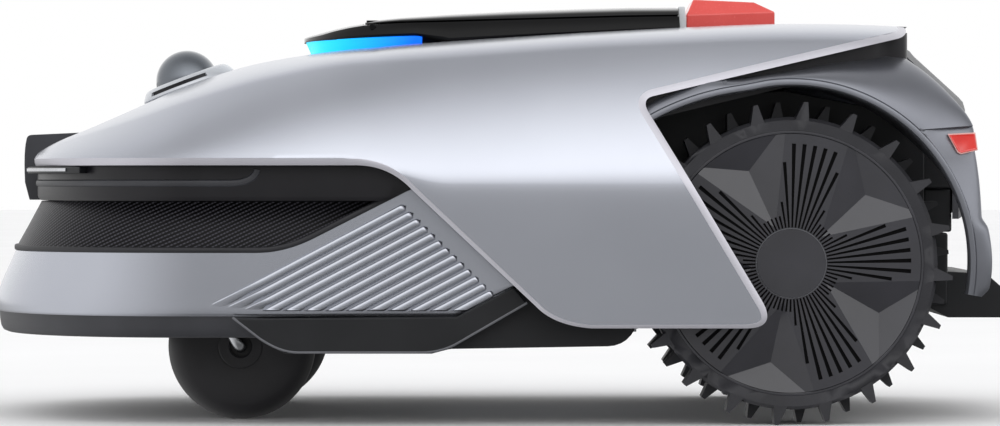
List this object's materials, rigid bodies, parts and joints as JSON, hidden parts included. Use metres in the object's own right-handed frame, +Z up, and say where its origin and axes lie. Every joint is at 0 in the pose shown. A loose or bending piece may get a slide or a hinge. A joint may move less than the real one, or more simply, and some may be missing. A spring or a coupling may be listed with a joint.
{
  "type": "robotic lawn mower",
  "caption": "Low robotic lawn mower with a silver hood and bumper, lugged drive wheels, front casters, lidar dome, lidded console and a side-shifting cutting deck.",
  "frame": {"origin": "on the ground under the middle of the overall box", "axes": "-X is the front of the machine, -Y its left side, +Z up"},
  "size_m": [0.659, 0.436, 0.2698],
  "materials": {
    "hood_silver": "satin metallic paint on moulded plastic",
    "dark_moulding": "fine-grain moulded plastic",
    "fender_grey": "fine-grain moulded plastic",
    "carbon_panel": "woven-look embossed plastic",
    "soft_rubber": "matte",
    "piano_black": "polished",
    "lens_glass": "polished dark lens",
    "contact_metal": "brushed",
    "blade_steel": "ground",
    "light_blue": "glowing light guide",
    "key_grey": "soft-touch",
    "trim_white": "polished",
    "stop_red": "satin",
    "lamp_red": "clear red lens",
    "dome_tint": "mirror-tinted dome",
    "rotor_grey": "moulded",
    "tyre_rubber": "matte",
    "wheel_plastic": "satin moulded plastic",
    "motor_case": "die cast",
    "head_black": "moulded",
    "disc_steel": "powder coat",
    "bush_grey": "acetal",
    "board_green": "solder mask"
  },
  "bodies": {
    "base": {"chassis": "dark_moulding", "inner_deck": "dark_moulding", "battery_pack": "head_black", "main_board": "board_green", "upper_shell": "hood_silver", "front_fascia": "dark_moulding", "camera_housing": "piano_black", "camera_lenses": "lens_glass", "contact_holders": "dark_moulding", "contact_strips": "contact_metal", "bumper_guides": "contact_metal", "edge_panel_left": "dark_moulding", "edge_panel_right": "dark_moulding", "console": "piano_black", "light_strip": "light_blue", "control_panel": "dark_moulding", "display_glass": "lens_glass", "lid_hinge_pin": "contact_metal", "trim_bar": "trim_white", "stop_switch": "dark_moulding", "lidar_base": "trim_white", "lidar_dome": "dome_tint", "rear_fender_left": "fender_grey", "rear_fender_right": "fender_grey", "rear_cover": "dark_moulding", "tail_lamps": "lamp_red", "rear_skid": "dark_moulding", "drive_motor_left": "motor_case", "drive_motor_right": "motor_case", "caster_bushes": "bush_grey", "deck_rails": "contact_metal"},
    "bumper": {"front_bumper": "hood_silver", "bumper_top": "carbon_panel", "bumper_lip": "soft_rubber", "bumper_band": "dark_moulding"},
    "lid": {"lid": "piano_black"},
    "stop": {"stop_button": "stop_red"},
    "power_key": {"key_power": "key_grey"},
    "start_key": {"key_start": "key_grey"},
    "home_key": {"key_home": "key_grey"},
    "lidar_head": {"lidar_rotor": "rotor_grey"},
    "carriage": {"deck_carriage": "motor_case"},
    "head": {"cutting_head": "head_black"},
    "disc": {"blade_disc": "disc_steel", "blade_screws": "contact_metal"},
    "blade_a": {"blade_1": "blade_steel"},
    "blade_b": {"blade_2": "blade_steel"},
    "blade_c": {"blade_3": "blade_steel"},
    "drive_left": {"drive_tyre_left": "tyre_rubber", "wheel_rim_left": "wheel_plastic", "wheel_cover_left": "wheel_plastic", "drive_axle_left": "contact_metal"},
    "caster_left": {"caster_strut_left": "contact_metal"},
    "caster_roller_left": {"caster_wheel_left": "tyre_rubber"},
    "drive_right": {"drive_tyre_right": "tyre_rubber", "wheel_rim_right": "wheel_plastic", "wheel_cover_right": "wheel_plastic", "drive_axle_right": "contact_metal"},
    "caster_right": {"caster_strut_right": "contact_metal"},
    "caster_roller_right": {"caster_wheel_right": "tyre_rubber"}
  },
  "joints": [
    {"name": "bumper_push", "type": "slide", "parent": "base", "child": "bumper", "axis": [1, 0, 0], "range_m": [0, 0.006], "stiffness_N_per_m": 900, "springref_m": -0.002},
    {"name": "lid_open", "type": "hinge", "parent": "base", "child": "lid", "pos_m": [-0.082, 0, 0.25], "axis": [0, -1, 0], "range_deg": [0, 70]},
    {"name": "stop_press", "type": "slide", "parent": "base", "child": "stop", "axis": [0, 0, -1], "range_m": [0, 0.004], "stiffness_N_per_m": 600, "springref_m": -0.008},
    {"name": "power_press", "type": "slide", "parent": "base", "child": "power_key", "axis": [0, 0, -1], "range_m": [0, 0.0015], "stiffness_N_per_m": 600, "springref_m": -0.001},
    {"name": "start_press", "type": "slide", "parent": "base", "child": "start_key", "axis": [0, 0, -1], "range_m": [0, 0.0015], "stiffness_N_per_m": 600, "springref_m": -0.001},
    {"name": "home_press", "type": "slide", "parent": "base", "child": "home_key", "axis": [0, 0, -1], "range_m": [0, 0.0015], "stiffness_N_per_m": 600, "springref_m": -0.001},
    {"name": "lidar_spin", "type": "hinge", "parent": "base", "child": "lidar_head", "pos_m": [-0.206, 0, 0.21546], "axis": [-0.3502, 0, 0.9367], "continuous": true},
    {"name": "drive_left_spin", "type": "hinge", "parent": "base", "child": "drive_left", "pos_m": [0.18, 0, 0.1], "axis": [0, 1, 0], "continuous": true},
    {"name": "caster_left_swivel", "type": "hinge", "parent": "base", "child": "caster_left", "pos_m": [-0.192, -0.11, 0], "axis": [0, 0, 1], "continuous": true},
    {"name": "caster_left_roll", "type": "hinge", "parent": "caster_left", "child": "caster_roller_left", "pos_m": [-0.164, 0, 0.0464], "axis": [0, 1, 0], "continuous": true},
    {"name": "drive_right_spin", "type": "hinge", "parent": "base", "child": "drive_right", "pos_m": [0.18, 0, 0.1], "axis": [0, 1, 0], "continuous": true},
    {"name": "caster_right_swivel", "type": "hinge", "parent": "base", "child": "caster_right", "pos_m": [-0.192, 0.11, 0], "axis": [0, 0, 1], "continuous": true},
    {"name": "caster_right_roll", "type": "hinge", "parent": "caster_right", "child": "caster_roller_right", "pos_m": [-0.164, 0, 0.0464], "axis": [0, 1, 0], "continuous": true},
    {"name": "deck_shift", "type": "slide", "parent": "base", "child": "carriage", "axis": [0, -1, 0], "range_m": [0, 0.04]},
    {"name": "deck_height", "type": "slide", "parent": "carriage", "child": "head", "axis": [0, 0, 1], "range_m": [-0.025, 0.015]},
    {"name": "disc_spin", "type": "hinge", "parent": "head", "child": "disc", "pos_m": [0.012, 0, 0], "axis": [0, 0, 1], "continuous": true},
    {"name": "blade_a_pivot", "type": "hinge", "parent": "disc", "child": "blade_a", "pos_m": [0.084, 0, 0], "axis": [0, 0, 1], "continuous": true},
    {"name": "blade_b_pivot", "type": "hinge", "parent": "disc", "child": "blade_b", "pos_m": [-0.024, 0.06235, 0], "axis": [0, 0, 1], "continuous": true},
    {"name": "blade_c_pivot", "type": "hinge", "parent": "disc", "child": "blade_c", "pos_m": [-0.024, -0.06235, 0], "axis": [0, 0, 1], "continuous": true}
  ]
}
